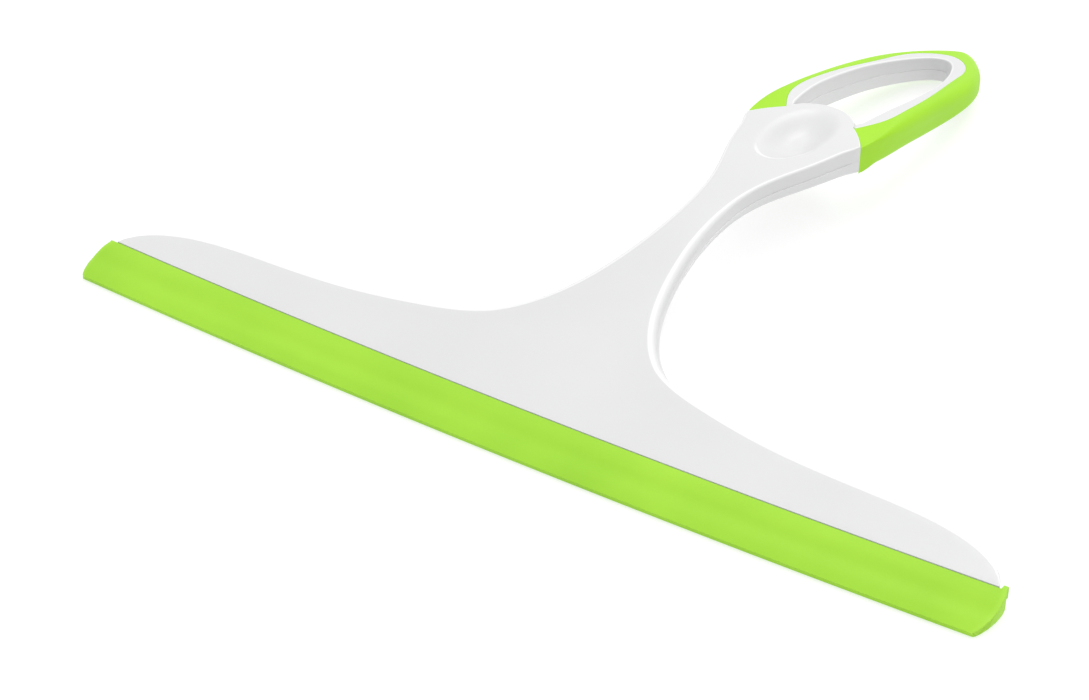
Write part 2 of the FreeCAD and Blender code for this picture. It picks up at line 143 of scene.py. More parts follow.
# Roundings of the shells' outer edges, by Y.
UPPER_ROUNDING = ((0.0, 1.0), (4.0, 1.3), (12.0, 1.5), (20.0, 2.0), (28.0, 2.9), (57.0, 3.0),
                  (77.0, 2.6), (93.0, 1.9), (110.0, 1.25), (128.0, 1.0), (148.0, 0.9))
LOWER_ROUNDING = ((0.0, 0.8), (12.0, 1.6), (28.0, 2.1), (150.0, 2.1))
UPPER_CORNER, LOWER_CORNER = 0.5, 1.3     # the same where the grip starts
JOINT_EDGE = 0.22         # rounding of edges that meet the blade or the grip
OPENING_ROUNDING, OPENING_CORNER = 0.8, 0.25
WING_POINTS, CORNER_POINTS = 12, 6    # points over which the rounding grows at either end
FREE_GROWTH, FREE_FADE = 44, 10       # the same for the wall's lean and ledge
OPENING_POINTS = 14

# The blade: a lip in front of the head, a web and bead in its channel, and a lug.
WEB_HALF, BEAD_RADIUS, BEAD_DEPTH, SLIDE_GAP = 0.85, 1.65, 5.0, 0.15
ROOT_HALF = 139.0         # half length of the web and bead
ROOT_FRONT, WEB_POINT = -1.0, 1.5     # depths of the web's points, from the front edge
LIP_GAP, LIP_STEP = 0.25, 0.2         # the lip starts this far before the head and below its top
LIP_REACH, LIP_EDGE_Z = 15.0, 1.3     # its reach from the head, and height of its edge
LIP_TOP = ((4.05, 1.1), (7.5, 2.35), (11.1, 3.3))    # forward and down from where it starts
LIP_UNDER = ((0.3, 0.0), (6.75, 0.3))                # back and up from its edge
LIP_REAR_Z = 0.1
LIP_HALF_LENGTHS = ((-16.1, 143.3), (-15.8, 144.6), (-15.2, 145.7), (-14.3, 146.5),
                    (-12.7, 147.2), (-10.1, 147.9), (-6.7, 148.25), (-3.3, 148.1), (-0.3, 147.5))
LUG_LOW, LUG_HIGH = (145.5, -1.6), (147.0, 1.5)
LUG_TOP, LUG_HEIGHT, LUG_ROUNDING, LUG_CORNER = 5.6, 3.4, 0.25, 0.35
LIP_COLUMNS, ROOT_COLUMNS = 151, 71   # sections along the blade
LIP_END_ROUND, ROOT_END_ROUND = 0.3, 0.2
REAR_STEPS, BEAD_STEPS = 6, 25
# How much paler the blade's rounded ends are painted, as wear and painted highlight.
BLADE_END_WEAR_AND_HIGHLIGHT = 0.7
CORNER_TURNS = (0, 18, 36, 54, 72, 90)    # the blade's ends and the lug's corners are rounded

# The grip's outer edge: its full rounding, the run over which that grows, and that at the tip.
GRIP_UPPER, GRIP_LOWER = (4.1, 34.0, 3.3), (2.3, 9.0, 3.3)
GRIP_TIP_Y, GRIP_TIP_SPAN = 238.0, 18.0
GRIP_SQUARE_RUN = 1.5     # run beside the start over which the edge stays square
GRIP_CORNER, GRIP_BESIDE_CORNER = 0.1, 0.16
GRIP_TALL, GRIP_WEAR_AND_HIGHLIGHT = 1.1, 0.2       # its rounding is taller than wide, and gets little paler wear and painted highlight

# Angle between two faces above which the edge between them is drawn sharp.
SHELL_SHARP, GRIP_SHARP, BLADE_SHARP = 28.0, 40.0, 35.0

SEEDS = {"outer wall": 3, "opening": 5, "grip": 7, "lug": 1}    # of each wall's unevenness

# Distances between the points of each outline, by the run from its end.
WING_GAPS = ((0.0, 0.8), (1.5, 0.35), (10.0, 0.45), (30.0, 0.9))
BAND_GAPS = ((0.0, 0.2), (3.0, 0.35), (10.0, 0.8))
GRIP_GAPS = ((0.0, 2.6), (0.5, 1.0), (4.0, 0.8))
START_GAPS = ((0.0, 0.5),)
PLATE_END_GAPS = ((0.0, 0.45),)
FRONT_POINTS = 160
GAP_STEPS = 2000          # how finely those distances are followed

# Points on the caps: rectangles of a staggered grid, as two corners and the gap between points.
HEAD_AREA, NECK_AREA = ((-146, -6), (146, 100), 2.2), ((-20, 100), (20, 120), 1.6)
DISH_AREA, DISH_GAP, PLAIN_GAP = ((-20, 120), (20, 172)), 0.55, 1.6
LOOP_AREA, SEAM_AREA = ((-20, 172), (20, 255), 1.1), ((-146, 4), (146, 250), 4.0)
GRIP_AREA = ((-25, 140), (25, 262), 1.0)
SHELL_MARGIN, SEAM_MARGIN, GRIP_MARGIN = 0.42, 0.12, 0.4    # kept free beside the outlines
CHANNEL_ROWS = (3.5, 3.65, 3.9, 4.3, 4.7, 5.0, 5.4, 5.8, 6.2, 6.5, 6.7, 6.8)
CHANNEL_ROW_X = (-144.0, 144.0, 2.0)


# ---------------------------------------------------------------- curves

def mirrored(points):
    return [(-x, y) for x, y in reversed(points)]


def smooth(points, spacing=0.25):
    """Close points along the natural cubic spline through a few points."""
    p = np.array(points, float)
    t = np.concatenate([[0.0], np.cumsum(np.linalg.norm(np.diff(p, axis=0), axis=1))])
    h = np.diff(t)
    count = len(p)
    system, right = np.eye(count), np.zeros_like(p)
    for i in range(1, count - 1):
        system[i, i - 1:i + 2] = h[i - 1], 2 * (h[i - 1] + h[i]), h[i]
        right[i] = 6 * ((p[i + 1] - p[i]) / h[i] - (p[i] - p[i - 1]) / h[i - 1])
    bend = np.linalg.solve(system, right)
    s = np.linspace(0.0, t[-1], int(t[-1] / spacing) + 2)
    k = np.clip(np.searchsorted(t, s, side="right") - 1, 0, count - 2)
    a, b, w = (t[k + 1] - s)[:, None], (s - t[k])[:, None], h[k][:, None]
    return ((bend[k] * a ** 3 + bend[k + 1] * b ** 3) / (6 * w)
            + (p[k] / w - bend[k] * w / 6) * a + (p[k + 1] / w - bend[k + 1] * w / 6) * b)


def circle_through(a, b, c):
    """Centre and radius of the circle through three points."""
    a, b, c = (np.array(q, float) for q in (a, b, c))
    system = 2 * np.array([b - a, c - a])
    centre = np.linalg.solve(system, [b @ b - a @ a, c @ c - a @ a])
    return centre, np.linalg.norm(a - centre)


def arc(centre, radius, start, end, spacing=0.25):
    """Points along the shorter arc of a circle from start to end."""
    first = math.atan2(start[1] - centre[1], start[0] - centre[0])
    turn = math.atan2(end[1] - centre[1], end[0] - centre[0]) - first
    turn = (turn + math.pi) % (2 * math.pi) - math.pi
    angles = first + np.linspace(0, 1, int(abs(turn) * radius / spacing) + 2) * turn
    return centre + radius * np.column_stack([np.cos(angles), np.sin(angles)])


def spaced(line, gaps, from_both_ends=True):
    """Points along a line, with the gap between them given by the run from its end."""
    run = np.concatenate([[0.0], np.cumsum(np.linalg.norm(np.diff(line, axis=0), axis=1))])
    fine = np.linspace(0, run[-1], GAP_STEPS)
    from_end = np.minimum(fine[1:], run[-1] - fine[1:]) if from_both_ends else fine[1:]
    steps = np.diff(fine) / np.interp(from_end, *zip(*gaps))
    ticks = np.concatenate([[0.0], np.cumsum(steps)])
    count = max(2, int(round(ticks[-1])) + 1)
    at = np.interp(np.linspace(0, ticks[-1], count), ticks, fine)
    return np.column_stack([np.interp(at, run, line[:, 0]), np.interp(at, run, line[:, 1])])


def ease(u):
    """From 0 to 1, flat at both ends."""
    u = np.clip(u, 0.0, 1.0)
    return u * u * (3 - 2 * u)


def bow_line(x, radius):
    """Points at some x on a circle about the bow's line."""
    return np.column_stack([x, BOW_Y - np.sqrt(radius ** 2 - x ** 2)])


# ---------------------------------------------------------------- heights

DISC_CENTRE, DISC_RADIUS = circle_through(OPENING[0], (0.0, PLATE_END_Y), mirrored(OPENING)[-1])


def section_y(x, y):
    """The Y at which the side view is read, because sections are turned about the bow."""
    return BOW_Y - np.hypot(x, BOW_Y - y)


def line_height(x, y, share):
    """Height of the side-view line that lies a share of the thickness below the top."""
    ys = np.array(CORNERS_Y)
    slopes = np.tan(np.radians(PITCHES))
    tops = FRONT_Z + np.concatenate([[0.0], np.cumsum(np.diff(ys) * slopes)])
    z = tops - share * np.array(THICKNESS)
    m = np.diff(z) / np.diff(ys)
    at = section_y(x, y)
    runs = [z[k] + m[k] * (at - ys[k]) for k in range(3)]
    height = np.where(at < ys[1], runs[0], np.where(at < ys[2], runs[1], runs[2]))
    for k, radius in zip((1, 2), BEND_RADII):
        reach = radius * abs(math.atan(m[k]) - math.atan(m[k - 1])) / 2
        u = at - ys[k]
        bent = z[k] + m[k - 1] * u + (m[k] - m[k - 1]) * (u + reach) ** 2 / (4 * reach)
        height = np.where(np.abs(u) < reach, bent, height)
    return height


def ring_drop(y):
    """How far the loop's top lies below the plate's line, fading out towards the tip."""
    return RING_DROP * (1 - ease((y - RING_DROP_Y) / RING_DROP_FADE))


def dish_place(x, y):
    """The way from the dish's rim, 0, to its middle, 1, and how crisp the rim is there."""
    v = y - DISH["y"]
    v = np.where(v < 0, v / DISH["near"], v / DISH["far"])
    u = (x - DISH["x"]) / DISH["wide"]
    turn = np.degrees(np.arctan2(u, -np.minimum(v, 0.0) + 1e-6))
    start, full, fade, end = RIM_TURNS
    crisp = ease((end - turn) / (end - fade)) * ease((turn - start) / (full - start))
    return 1 - np.hypot(u, v), crisp


def dish_depth(x, y):
    q, crisp = dish_place(x, y)
    step = RIM_SHARE * crisp
    return DISH["depth"] * (step * ease(q / RIM_SPAN) + (1 - step) * ease(q / DISH_SPAN))


def dish_wear_and_highlight(x, y):
    """Wear and a painted highlight along the dish's crisp rim."""
    q, crisp = dish_place(x, y)
    return RIM_WEAR_AND_HIGHLIGHT * crisp * np.exp(-((q - RIM_WEAR_AND_HIGHLIGHT_AT) / RIM_WEAR_AND_HIGHLIGHT_SPREAD) ** 2)


def shell_top(x, y):
    """Top of the head, neck and plate, and a step lower that of the loop's white band."""
    height = line_height(x, y, 0.0) - dish_depth(x, y)
    outside = np.hypot(x - DISC_CENTRE[0], y - DISC_CENTRE[1]) - DISC_RADIUS
    lowered = ease(outside / STEP_WIDTH) * (y > STEP_FROM_Y)
    return np.minimum(height - lowered * ring_drop(y), CREST_Z)


def grip_top(x, y):
    return line_height(x, y, 0.0) - ring_drop(y)


def bottom(x, y):
    return line_height(x, y, 1.0)


def grip_middle(x, y):
    return (grip_top(x, y) + bottom(x, y)) / 2


def channel(x, y):
    """Half height of the blade's channel, measured from the seam."""
    back = section_y(x, y) - FRONT_Y
    half, radius = WEB_HALF + SLIDE_GAP, BEAD_RADIUS + SLIDE_GAP
    bead = np.sqrt(np.clip(radius ** 2 - (back - BEAD_DEPTH) ** 2, 0.0, None))
    web = np.where(back < BEAD_DEPTH, half, 0.0)
    return np.where(back < BEAD_DEPTH + radius, np.maximum(web, bead), 0.0)


def seam_above(x, y):
    return line_height(x, y, SEAM) + channel(x, y)


def seam_below(x, y):
    return line_height(x, y, SEAM) - channel(x, y)


def level(z):
    """A flat surface."""
    return lambda x, y: np.full(len(x), z)


# ---------------------------------------------------------------- meshes

BATCH = 1000              # points tested at once, to save memory
ROW_STEP = 0.87           # distance between a staggered grid's rows, in gaps
RIPPLE_WAVES = (41.0, 17.0, 7.0, 3.1)
RIPPLE_GROWTH, RIPPLE_SUM = 0.3, 6.0
SHARPEST_CORNER = 0.45    # keeps inset points from running away at sharp corners


def to_frame(points):
    """Millimetres with Y = 0 at the blade's ends, to metres in the frame."""
    moved = np.array(points, float)
    moved[:, 1] -= SHIFT_Y
    return moved / MM


def left_normals(ahead):
    """Unit normals on the left of some directions."""
    ahead = ahead / np.linalg.norm(ahead, axis=1)[:, None]
    return np.column_stack([-ahead[:, 1], ahead[:, 0]])


def inward(loop):
    """Unit-gap inset directions of a closed loop whose material lies on its left."""
    normal = left_normals(np.roll(loop, -1, axis=0) - loop)
    before = np.roll(normal, 1, axis=0)
    share = 1 + np.sum(before * normal, axis=1)
    return (before + normal) / np.maximum(share, SHARPEST_CORNER)[:, None]


def inside(points, outlines):
    """Whether points lie inside outlines, holes counted out."""
    odd = np.zeros(len(points), bool)
    for line in outlines:
        x0, y0 = line.T
        x1, y1 = np.roll(line, -1, axis=0).T
        for start in range(0, len(points), BATCH):
            px = points[start:start + BATCH, :1]
            py = points[start:start + BATCH, 1:]
            crosses = (y0 > py) != (y1 > py)
            at = x0 + (py - y0) * (x1 - x0) / np.where(y1 == y0, 1e-12, y1 - y0)
            odd[start:start + BATCH] ^= (np.sum(crosses & (px < at), axis=1) % 2).astype(bool)
    return odd


def well_inside(points, outlines, gap):
    """The points inside the outlines that keep gap from them."""
    points = points[inside(points, outlines)]
    near = np.vstack(outlines)
    far = np.ones(len(points), bool)
    for start in range(0, len(points), BATCH):
        d = points[start:start + BATCH, None] - near[None]
        far[start:start + BATCH] = np.min(np.sum(d * d, axis=2), axis=1) > gap * gap
    return points[far]


def grid(low, high, gap):
    """Staggered points over a rectangle."""
    xs, ys = np.arange(low[0], high[0], gap), np.arange(low[1], high[1], gap * ROW_STEP)
    x, y = np.meshgrid(xs, ys)
    x = x + (np.arange(len(ys))[:, None] % 2) * gap / 2
    return np.column_stack([x.ravel(), y.ravel()])


class Mesh:
    """Collects points and faces, and at each point the edge wear and painted highlight."""

    def __init__(self):
        self.points = []
        self.wear_and_highlight = []
        self.faces = []

    def ring(self, xy, z, wear_and_highlight):
        """Adds points and returns their indices."""
        first = len(self.points)
        self.points += [(p[0], p[1], h) for p, h in zip(xy, z)]
        self.wear_and_highlight += [float(w) for w in np.broadcast_to(wear_and_highlight, len(xy))]
        return list(range(first, first + len(xy)))

    def outlines(self, loops):
        return [np.array([self.points[i][:2] for i in loop]) for loop in loops]

    def band(self, low, high, flip=False):
        """Faces between two rings."""
        count = len(low)
        for i in range(count):
            j = (i + 1) % count
            face = (low[i], low[j], high[j], high[i])
            self.faces.append(face[::-1] if flip else face)

    def cap(self, loops, points, gap, height, flip=False, wear_and_highlight=None):
        """A surface between loops of existing points, with more points well inside them."""
        outlines = self.outlines(loops)
        inner = well_inside(points, outlines, gap)
        index = [i for loop in loops for i in loop]
        xy = [Vector(self.points[i][:2]) for i in index]
        edges, first = [], 0
        for loop in loops:
            n = len(loop)
            edges += [(first + k, first + (k + 1) % n) for k in range(n)]
            first += n
        index += self.ring(inner, height(*inner.T), wear_and_highlight(*inner.T) if wear_and_highlight else 0.0)
        xy += [Vector(p) for p in inner]
        made = delaunay_2d_cdt(xy, edges, [], 0, 1e-7)
        source = [min(ids) if ids else None for ids in made[3]]
        corners = np.array([[made[0][i][:] for i in face] for face in made[2]])
        for face, wanted in zip(made[2], inside(corners.mean(axis=1), outlines)):
            if wanted:
                face = tuple(index[source[i]] for i in face)
                self.faces.append(face[::-1] if flip else face)

    def finish(self, name, sharp_angle):
        """The Blender object, with soft shading except at sharp edges."""
        mesh = bpy.data.meshes.new(name)
        mesh.from_pydata(to_frame(self.points).tolist(), [], self.faces)
        mesh.validate()
        # Edge wear and painted highlight: how much paler the colour is painted at each point, as
        # rubbing and as light caught on edges.
        worn_and_highlit = mesh.attributes.new("edge_wear_and_highlight", "FLOAT", "POINT")
        worn_and_highlit.data.foreach_set("value", np.array(self.wear_and_highlight, np.float32))
        made = bpy.data.objects.new(name, mesh)
        bpy.context.scene.collection.objects.link(made)
        mesh.shade_smooth()
        mesh.set_sharp_from_angle(angle=math.radians(sharp_angle))
        return made


class Edge:
    """A closed loop of points with the rounding and freedom of the wall that stands on it."""

    def __init__(self, sections):
        self.xy = np.vstack([s["xy"][:-1] for s in sections])
        self.wide = np.concatenate([s["wide"][:-1] for s in sections])
        self.free = np.concatenate([s["free"][:-1] for s in sections])
        self.inward = inward(self.xy)
        self.run = np.cumsum(np.linalg.norm(self.xy - np.roll(self.xy, 1, axis=0), axis=1))

    def inset(self, distance):
        return self.xy + self.inward * np.asarray(distance)[:, None]


def section(xy, wide, free):
    """Part of a loop; free is 1 where the wall leans and shows its seam, 0 against a neighbour."""
    wide, free = (np.broadcast_to(value, len(xy)).astype(float) for value in (wide, free))
    return {"xy": xy, "wide": wide, "free": free}


def reverse(s):
    """The same section, run the other way."""
    return {key: values[::-1] for key, values in s.items()}


def flipped(s):
    """The same section on the other side, run the other way."""
    return {**reverse(s), "xy": s["xy"][::-1] * [-1, 1]}


def ripple(run, seed):
    """Slow, small unevenness along a moulded edge, between about -1 and 1."""
    rng = np.random.default_rng(seed)
    total = np.zeros(len(run))
    for wave in RIPPLE_WAVES:
        total += np.sin(2 * math.pi * (run / wave + rng.random())) * wave ** RIPPLE_GROWTH
    return total / RIPPLE_SUM


def wall(mesh, edge, base, rim, up, seed, tall=1.0, worn_and_highlit=1.0):
    """Rings from the base surface to the rim surface: a wall with draft, and its rounding."""
    x, y = edge.xy.T
    room = np.abs(rim(x, y) - base(x, y))
    wide = edge.wide
    high = np.minimum(wide * tall, ROUNDING_ROOM * room)
    lean = edge.free * np.clip(DRAFT_GROWTH * (wide - DRAFT_ROUNDING), 0.0, 1.0)
    draft = DRAFT * lean * np.minimum(1.0, room / DRAFT_ROOM)
    bevel = SEAM_BEVEL[up] * edge.free
    ledge, flash = np.zeros(len(x)), np.zeros(len(x))
    if up:
        ledge = SEAM_LEDGE * lean * ease((y - LEDGE_Y) / LEDGE_GROWTH)
        flash = np.clip(FLASH * ripple(edge.run, seed) * edge.free, *FLASH_RANGE)
    sign = 1.0 if up else -1.0
    xy = edge.inset(ledge + bevel)
    # The seam's bevel and the wall's foot are painted paler, as wear and painted highlight.
    rings = [mesh.ring(xy, base(*xy.T), BEVEL_WEAR_AND_HIGHLIGHT * edge.free)]
    for share in WALL_STEPS:
        xy = edge.inset(ledge + draft * share + flash * (1 - share) ** 3)
        z = base(*xy.T) + sign * (bevel + (room - high - bevel) * share)
        rings.append(mesh.ring(xy, z, 0.0 if share else SEAM_WEAR_AND_HIGHLIGHT * edge.free))
    for degrees in ROUNDING_STEPS:
        turn = math.radians(degrees)
        xy = edge.inset(ledge + draft + wide * (1 - math.cos(turn)))
        z = rim(*xy.T) - sign * high * (1 - math.sin(turn))
        # The upper part of each rounding is painted paler, as wear and a painted highlight line.
        rings.append(mesh.ring(xy, z, worn_and_highlit * math.sin(turn) if degrees < 90 else 0.0))
    for ring, next_ring in zip(rings, rings[1:]):
        mesh.band(ring, next_ring, flip=not up)
    return rings


def turned_strip(name, profile, half_lengths, columns, end_round):
    """A closed strip: a section turned about the bow's line, with rounded ends.

    The section may run either way round; its ends are rounded towards its inside.
    """
    normal = left_normals(np.roll(profile, -1, axis=0) - np.roll(profile, 1, axis=0))
    y, z = profile.T
    if np.sum(y * np.roll(z, -1) - np.roll(y, -1) * z) < 0:
        normal = -normal
    turns = [math.radians(a) for a in CORNER_TURNS]
    steps = [(t, turns[-1]) for t in np.linspace(-1, 1, columns)[1:-1]]
    mesh = Mesh()
    rings = []
    for t, turn in [(-1, a) for a in turns] + steps + [(1, a) for a in turns[::-1]]:
        points = profile + normal * end_round * (1 - math.sin(turn))
        x = t * (half_lengths - end_round)
        if abs(t) == 1:
            x += t * end_round * math.cos(turn)
        y = BOW_Y - np.sqrt((BOW_Y - points[:, 0]) ** 2 - x ** 2)
        # The blade's rounded ends are painted paler, as wear and painted highlight.
        worn_and_highlit = BLADE_END_WEAR_AND_HIGHLIGHT if abs(t) == 1 else 0.0
        rings.append(mesh.ring(np.column_stack([x, y]), points[:, 1], worn_and_highlit))
    for left, right in zip(rings, rings[1:]):
        mesh.band(left, right)
    mesh.faces.append(tuple(rings[0]))
    mesh.faces.append(tuple(rings[-1][::-1]))
    return mesh.finish(name, BLADE_SHARP)


# ---------------------------------------------------------------- outlines seen from above

right_half = WING + NECK + PLATE + LOOP
whole_outline = smooth(right_half + [(0.0, TIP_Y)] + mirrored(right_half))
start_centre, start_radius = circle_through(*GRIP_START)
past = np.linalg.norm(whole_outline - start_centre, axis=1) - start_radius
first_y, last_y = GRIP_START_YS
beside = ((whole_outline[:, 0] > 0) & (whole_outline[:, 1] > first_y)
          & (whole_outline[:, 1] < last_y))
crossing = np.nonzero(beside[:-1] & (past[:-1] * past[1:] <= 0))[0][0]
start_arc = arc(start_centre, start_radius, whole_outline[crossing], GRIP_START[-1])

front_x = np.linspace(-WING[0][0], WING[0][0], FRONT_POINTS)
front_line = bow_line(front_x, BOW_RADIUS)
white_right = spaced(whole_outline[:crossing + 1], WING_GAPS, from_both_ends=False)
grip_line = spaced(whole_outline[crossing:len(whole_outline) - crossing], GRIP_GAPS)
start_arc = spaced(start_arc, START_GAPS)
band_line = spaced(smooth(BAND + [(0.0, BAND_TIP_Y)] + mirrored(BAND)), BAND_GAPS)
opening_line = spaced(smooth(OPENING + [(0.0, OPENING_TIP_Y)] + mirrored(OPENING)), BAND_GAPS)
plate_end = arc(DISC_CENTRE, DISC_RADIUS, mirrored(OPENING)[-1], OPENING[0])
plate_end = spaced(plate_end, PLATE_END_GAPS)


def white_edge(roundings, corner):
    """The outer loop of a white half; corner is its rounding where the grip starts."""
    steps = np.arange(len(white_right))
    full = np.interp(white_right[:, 1], *zip(*roundings))
    wide = JOINT_EDGE + (full - JOINT_EDGE) * np.clip(steps / WING_POINTS, 0.0, 1.0)
    wide[-CORNER_POINTS:] = np.linspace(wide[-CORNER_POINTS], corner, CORNER_POINTS)
    free = ease(steps / FREE_GROWTH) * ease(steps[::-1] / FREE_FADE)
    side = section(white_right, wide, free)
    front = section(front_line, JOINT_EDGE, 0.0)
    start = section(start_arc, np.linspace(corner, JOINT_EDGE, len(start_arc)), 0.0)
    band = section(band_line, JOINT_EDGE, 0.0)
    return Edge([front, side, start, band, flipped(start), flipped(side)])


def opening_edge():
    """The opening's loop, run clockwise, so that the material is on its left."""
    steps = np.arange(len(opening_line))
    growth = ease(np.minimum(steps, steps[::-1]) / OPENING_POINTS)
    more = OPENING_ROUNDING - OPENING_CORNER
    ring = section(opening_line[::-1], OPENING_CORNER + more * growth, 1.0)
    growth = np.sin(np.linspace(0, math.pi, len(plate_end))) ** 0.5
    end = section(plate_end[::-1], OPENING_CORNER + more * growth, 1.0)
    return Edge([ring, end])


def grip_edge(widest, growth, at_tip):
    """The grip's loop; its outer edge is nearly square at the start and rounder further on."""
    steps = np.linalg.norm(np.diff(grip_line, axis=0), axis=1)
    run = np.concatenate([[0.0], np.cumsum(steps)])
    near_start = np.minimum(run, run[-1] - run)
    full = widest + (at_tip - widest) * ease((grip_line[:, 1] - GRIP_TIP_Y) / GRIP_TIP_SPAN)
    wide = JOINT_EDGE + (full - JOINT_EDGE) * ease((near_start - GRIP_SQUARE_RUN) / growth)
    wide[[0, -1]] = GRIP_CORNER
    start_wide = np.full(len(start_arc), JOINT_EDGE)
    start_wide[:2] = GRIP_CORNER, GRIP_BESIDE_CORNER
    start = section(start_arc, start_wide, 0.0)
    band = section(band_line, JOINT_EDGE, 0.0)
    return Edge([section(grip_line, wide, 0.0), reverse(flipped(start)), reverse(band),
                 reverse(start)])


# ---------------------------------------------------------------- the pieces

def make_shell(name, up, roundings, corner, dish_gap):
    """One white half; dish_gap is the distance between its points round the thumb dish."""
    rim, base = (shell_top, seam_above) if up else (bottom, seam_below)
    mesh = Mesh()
    outer = wall(mesh, white_edge(roundings, corner), base, rim, up, SEEDS["outer wall"])
    hole = wall(mesh, opening_edge(), base, rim, up, SEEDS["opening"])
    areas = (HEAD_AREA, NECK_AREA, (*DISH_AREA, dish_gap), LOOP_AREA)
    points = np.vstack([grid(*area) for area in areas])
    # The upper half paints wear and a painted highlight along the dish's crisp rim.
    wear_and_highlight = dish_wear_and_highlight if up else None
    mesh.cap([outer[-1], hole[-1]], points, SHELL_MARGIN, rim, not up, wear_and_highlight)
    rows = [bow_line(np.arange(*CHANNEL_ROW_X), BOW_RADIUS - back) for back in CHANNEL_ROWS]
    points = np.vstack(rows + [grid(*SEAM_AREA)])
    mesh.cap([outer[0], hole[0]], points, SEAM_MARGIN, base, flip=up)
    return mesh.finish(name, SHELL_SHARP)


def make_grip():
    mesh = Mesh()
    middles = []
    for up, rim, rounding in ((True, grip_top, GRIP_UPPER), (False, bottom, GRIP_LOWER)):
        edge = grip_edge(*rounding)
        rings = wall(mesh, edge, grip_middle, rim, up, SEEDS["grip"], GRIP_TALL, GRIP_WEAR_AND_HIGHLIGHT)
        mesh.cap([rings[-1]], grid(*GRIP_AREA), GRIP_MARGIN, rim, flip=not up)
        middles.append(rings[0])
    mesh.band(middles[1], middles[0])
    return mesh.finish("soft_grip", GRIP_SHARP)


def make_blade():
    """The lip: its top falls to a thin edge, over a nearly flat underside."""
    rear_y, edge_y = FRONT_Y - LIP_GAP, FRONT_Y - LIP_REACH
    top_z = FRONT_Z - LIP_GAP * math.tan(math.radians(PITCHES[0])) - LIP_STEP
    top = [(rear_y - out, top_z - down) for out, down in ((0.0, 0.0),) + LIP_TOP]
    under = [(edge_y + back, rise) for back, rise in LIP_UNDER]
    rear = [(rear_y, LIP_REAR_Z + (top_z - LIP_REAR_Z) * k / REAR_STEPS)
            for k in range(1, REAR_STEPS)]
    profile = np.vstack([smooth(top + [(edge_y, LIP_EDGE_Z)], 0.3),
                         smooth(under + [(rear_y, LIP_REAR_Z)], 0.6), rear])
    half_lengths = np.interp(profile[:, 0] - FRONT_Y, *zip(*LIP_HALF_LENGTHS))
    return turned_strip("wiper_lip", profile, half_lengths, LIP_COLUMNS, LIP_END_ROUND)


def make_root():
    """The web and bead that hold the blade in its channel."""
    web_end = BEAD_DEPTH - math.sqrt(BEAD_RADIUS ** 2 - WEB_HALF ** 2)
    upper = [(depth, WEB_HALF) for depth in (ROOT_FRONT, WEB_POINT, web_end)]
    lower = [(depth, -WEB_HALF) for depth, _ in reversed(upper)]
    first = math.atan2(WEB_HALF, web_end - BEAD_DEPTH)
    bead = [(BEAD_DEPTH + BEAD_RADIUS * math.cos(a), BEAD_RADIUS * math.sin(a))
            for a in np.linspace(first, -first, BEAD_STEPS + 1)[1:-1]]
    slope = math.tan(math.radians(PITCHES[0]))
    seam_z = FRONT_Z - SEAM * THICKNESS[0]
    profile = np.array([(FRONT_Y + depth, seam_z + depth * slope + height)
                        for depth, height in upper + bead + lower])
    half_lengths = np.full(len(profile), ROOT_HALF)
    return turned_strip("blade_root", profile, half_lengths, ROOT_COLUMNS, ROOT_END_ROUND)


def make_lug():
    """The blade's small square lug, behind the lip and beside the head's right end."""
    turns = np.radians(CORNER_TURNS)
    outline = []
    for k, (right, rear) in enumerate(((1, 1), (0, 1), (0, 0), (1, 0))):
        x, y = (LUG_LOW[0], LUG_HIGH[0])[right], (LUG_LOW[1], LUG_HIGH[1])[rear]
        centre = np.array([x, y]) - LUG_CORNER * np.array([2 * right - 1, 2 * rear - 1])
        angles = turns + k * math.pi / 2
        outline.append(centre + LUG_CORNER * np.column_stack([np.cos(angles), np.sin(angles)]))
    outline = np.vstack(outline + [outline[0][:1]])
    edge = Edge([section(outline, LUG_ROUNDING, 0.0)])
    middle = level(LUG_TOP - LUG_HEIGHT / 2)
    mesh = Mesh()
    middles = []
    for up, z in ((True, LUG_TOP), (False, LUG_TOP - LUG_HEIGHT)):
        rings = wall(mesh, edge, middle, level(z), up, SEEDS["lug"])
        mesh.faces.append(tuple(rings[-1] if up else rings[-1][::-1]))
        middles.append(rings[0])
    mesh.band(middles[1], middles[0])
    return mesh.finish("blade_lug", BLADE_SHARP)


# ---------------------------------------------------------------- materials

PLASTIC_TONES = ((0.675, 0.675, 0.680, 1), (0.700, 0.700, 0.704, 1))
# Paler plastic painted on edges, as wear and painted highlight.
WORN_AND_HIGHLIT_PLASTIC = (0.87, 0.87, 0.875, 1)
BLADE_TONES = ((0.300, 0.630, 0.017, 1), (0.370, 0.725, 0.029, 1), (0.405, 0.755, 0.045, 1))
GRIP_TONES = ((0.325, 0.670, 0.006, 1), (0.355, 0.710, 0.011, 1), (0.385, 0.735, 0.024, 1))
# Paler rubber painted on edges, as wear and painted highlight.
WORN_AND_HIGHLIT_RUBBER = (0.52, 0.88, 0.12, 1)
FLOOR_TONE, FLOOR_GLOW = (0.42, 0.42, 0.42, 1), 0.63
WHITE = (1, 1, 1, 1)
PLASTIC_ROUGHNESS, RUBBER_ROUGHNESS, FLOOR_ROUGHNESS = (0.27, 0.36), (0.42, 0.58), 0.8
PLASTIC_GLOSS, BLADE_GLOSS, GRIP_GLOSS, FLOOR_GLOSS = 0.45, 0.35, 0.28, 0.1
PLASTIC_FLOW = (0.35, 1.6, 1.0)       # how much finer the marks are along X, Y and Z
BLADE_STREAKS, GRIP_STREAKS = (0.12, 1.5, 1.0), (1.0, 0.5, 1.0)
PLASTIC_GRAIN, BLADE_GRAIN, GRIP_GRAIN = 900.0, 1500.0, 2200.0


